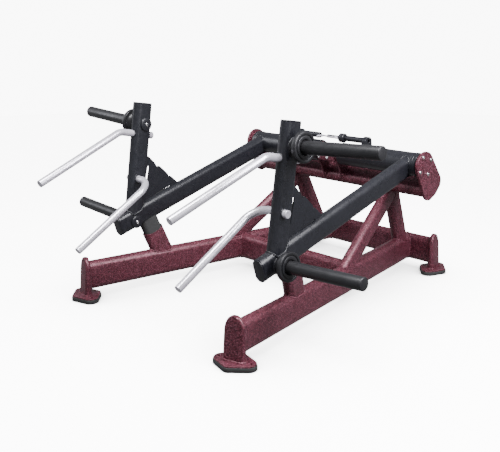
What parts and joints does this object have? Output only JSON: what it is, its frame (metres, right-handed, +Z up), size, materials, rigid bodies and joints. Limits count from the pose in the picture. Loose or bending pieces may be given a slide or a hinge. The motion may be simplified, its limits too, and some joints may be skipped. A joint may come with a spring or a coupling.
{
  "type": "plate-loaded lever press machine",
  "caption": "Plate-loaded floor-standing strength machine: welded oval-tube base, cross axle and independent lever arms with bent grip bars and plate horns.",
  "frame": {"origin": "on the floor, below the middle of the whole machine", "axes": "+Z up, -Y toward the grip bars (the front), +X to the right of somebody standing behind the machine and looking at the front"},
  "size_m": [1.7146, 1.754, 0.8556],
  "materials": {
    "side_rail_R": "metallic powder coat",
    "side_rail_L": "metallic powder coat",
    "rear_cross_member": "metallic powder coat",
    "middle_cross_member": "metallic powder coat",
    "foot_front_R": "metallic powder coat",
    "foot_front_L": "metallic powder coat",
    "foot_rear_R": "metallic powder coat",
    "foot_rear_L": "metallic powder coat",
    "floor_pad_front_R": "matte black",
    "floor_pad_front_L": "matte black",
    "floor_pad_rear_R": "matte black",
    "floor_pad_rear_L": "matte black",
    "cross_beam": "metallic powder coat",
    "upright_R": "metallic powder coat",
    "upright_L": "metallic powder coat",
    "brace_R": "metallic powder coat",
    "brace_L": "metallic powder coat",
    "end_plate_R": "metallic powder coat",
    "end_plate_L": "metallic powder coat",
    "axle_shaft": "machined",
    "centre_bracket": "metallic powder coat",
    "stop_post_R": "metallic powder coat",
    "stop_post_L": "metallic powder coat",
    "stop_pad_R": "matte black",
    "stop_pad_L": "matte black",
    "pivot_sleeve_R": "satin black powder coat",
    "sleeve_end_ring_R": "satin black powder coat",
    "bearing_inner_R": "machined",
    "bearing_outer_R": "machined",
    "arm_tube_R": "satin black powder coat",
    "arm_end_cap_R": "satin black powder coat",
    "post_tube_R": "satin black powder coat",
    "post_cap_R": "satin black powder coat",
    "gusset_R": "satin black powder coat",
    "upper_horn_R": "satin dark grey coat",
    "lower_horn_R": "satin dark grey coat",
    "horn_cap_upper_R": "satin black powder coat",
    "horn_cap_lower_R": "satin black powder coat",
    "upper_handle_R": "bright satin plating",
    "lower_handle_R": "bright satin plating",
    "coupler_lug_R": "satin black powder coat",
    "pivot_sleeve_L": "satin black powder coat",
    "sleeve_end_ring_L": "satin black powder coat",
    "bearing_inner_L": "machined",
    "bearing_outer_L": "machined",
    "arm_tube_L": "satin black powder coat",
    "arm_end_cap_L": "satin black powder coat",
    "post_tube_L": "satin black powder coat",
    "post_cap_L": "satin black powder coat",
    "gusset_L": "satin black powder coat",
    "upper_horn_L": "satin dark grey coat",
    "lower_horn_L": "satin dark grey coat",
    "horn_cap_upper_L": "satin black powder coat",
    "horn_cap_lower_L": "satin black powder coat",
    "upper_handle_L": "bright satin plating",
    "lower_handle_L": "bright satin plating",
    "coupler_lug_L": "satin black powder coat",
    "lock_pin": "satin black powder coat",
    "pin_pull": "bright satin plating"
  },
  "bodies": {
    "frame": {"side_rail_R": "side_rail_R", "side_rail_L": "side_rail_L", "rear_cross_member": "rear_cross_member", "middle_cross_member": "middle_cross_member", "foot_front_R": "foot_front_R", "foot_front_L": "foot_front_L", "foot_rear_R": "foot_rear_R", "foot_rear_L": "foot_rear_L", "floor_pad_front_R": "floor_pad_front_R", "floor_pad_front_L": "floor_pad_front_L", "floor_pad_rear_R": "floor_pad_rear_R", "floor_pad_rear_L": "floor_pad_rear_L", "cross_beam": "cross_beam", "upright_R": "upright_R", "upright_L": "upright_L", "brace_R": "brace_R", "brace_L": "brace_L", "end_plate_R": "end_plate_R", "end_plate_L": "end_plate_L", "axle_shaft": "axle_shaft", "centre_bracket": "centre_bracket", "stop_post_R": "stop_post_R", "stop_post_L": "stop_post_L", "stop_pad_R": "stop_pad_R", "stop_pad_L": "stop_pad_L"},
    "arm_R": {"pivot_sleeve_R": "pivot_sleeve_R", "sleeve_end_ring_R": "sleeve_end_ring_R", "bearing_inner_R": "bearing_inner_R", "bearing_outer_R": "bearing_outer_R", "arm_tube_R": "arm_tube_R", "arm_end_cap_R": "arm_end_cap_R", "post_tube_R": "post_tube_R", "post_cap_R": "post_cap_R", "gusset_R": "gusset_R", "upper_horn_R": "upper_horn_R", "lower_horn_R": "lower_horn_R", "horn_cap_upper_R": "horn_cap_upper_R", "horn_cap_lower_R": "horn_cap_lower_R", "upper_handle_R": "upper_handle_R", "lower_handle_R": "lower_handle_R", "coupler_lug_R": "coupler_lug_R"},
    "arm_L": {"pivot_sleeve_L": "pivot_sleeve_L", "sleeve_end_ring_L": "sleeve_end_ring_L", "bearing_inner_L": "bearing_inner_L", "bearing_outer_L": "bearing_outer_L", "arm_tube_L": "arm_tube_L", "arm_end_cap_L": "arm_end_cap_L", "post_tube_L": "post_tube_L", "post_cap_L": "post_cap_L", "gusset_L": "gusset_L", "upper_horn_L": "upper_horn_L", "lower_horn_L": "lower_horn_L", "horn_cap_upper_L": "horn_cap_upper_L", "horn_cap_lower_L": "horn_cap_lower_L", "upper_handle_L": "upper_handle_L", "lower_handle_L": "lower_handle_L", "coupler_lug_L": "coupler_lug_L"},
    "lock_pin": {"lock_pin": "lock_pin", "pin_pull": "pin_pull"}
  },
  "joints": [
    {"name": "arm_R_lift", "type": "hinge", "parent": "frame", "child": "arm_R", "pos_m": [0.27, 0.4671, 0.588], "axis": [-1, 0, 0], "range_deg": [0, 45]},
    {"name": "arm_L_lift", "type": "hinge", "parent": "frame", "child": "arm_L", "pos_m": [-0.27, 0.4671, 0.588], "axis": [-1, 0, 0], "range_deg": [0, 45]},
    {"name": "lock_pin_slide", "type": "slide", "parent": "arm_R", "child": "lock_pin", "axis": [-1, 0, 0], "range_m": [0, 0.08]}
  ]
}
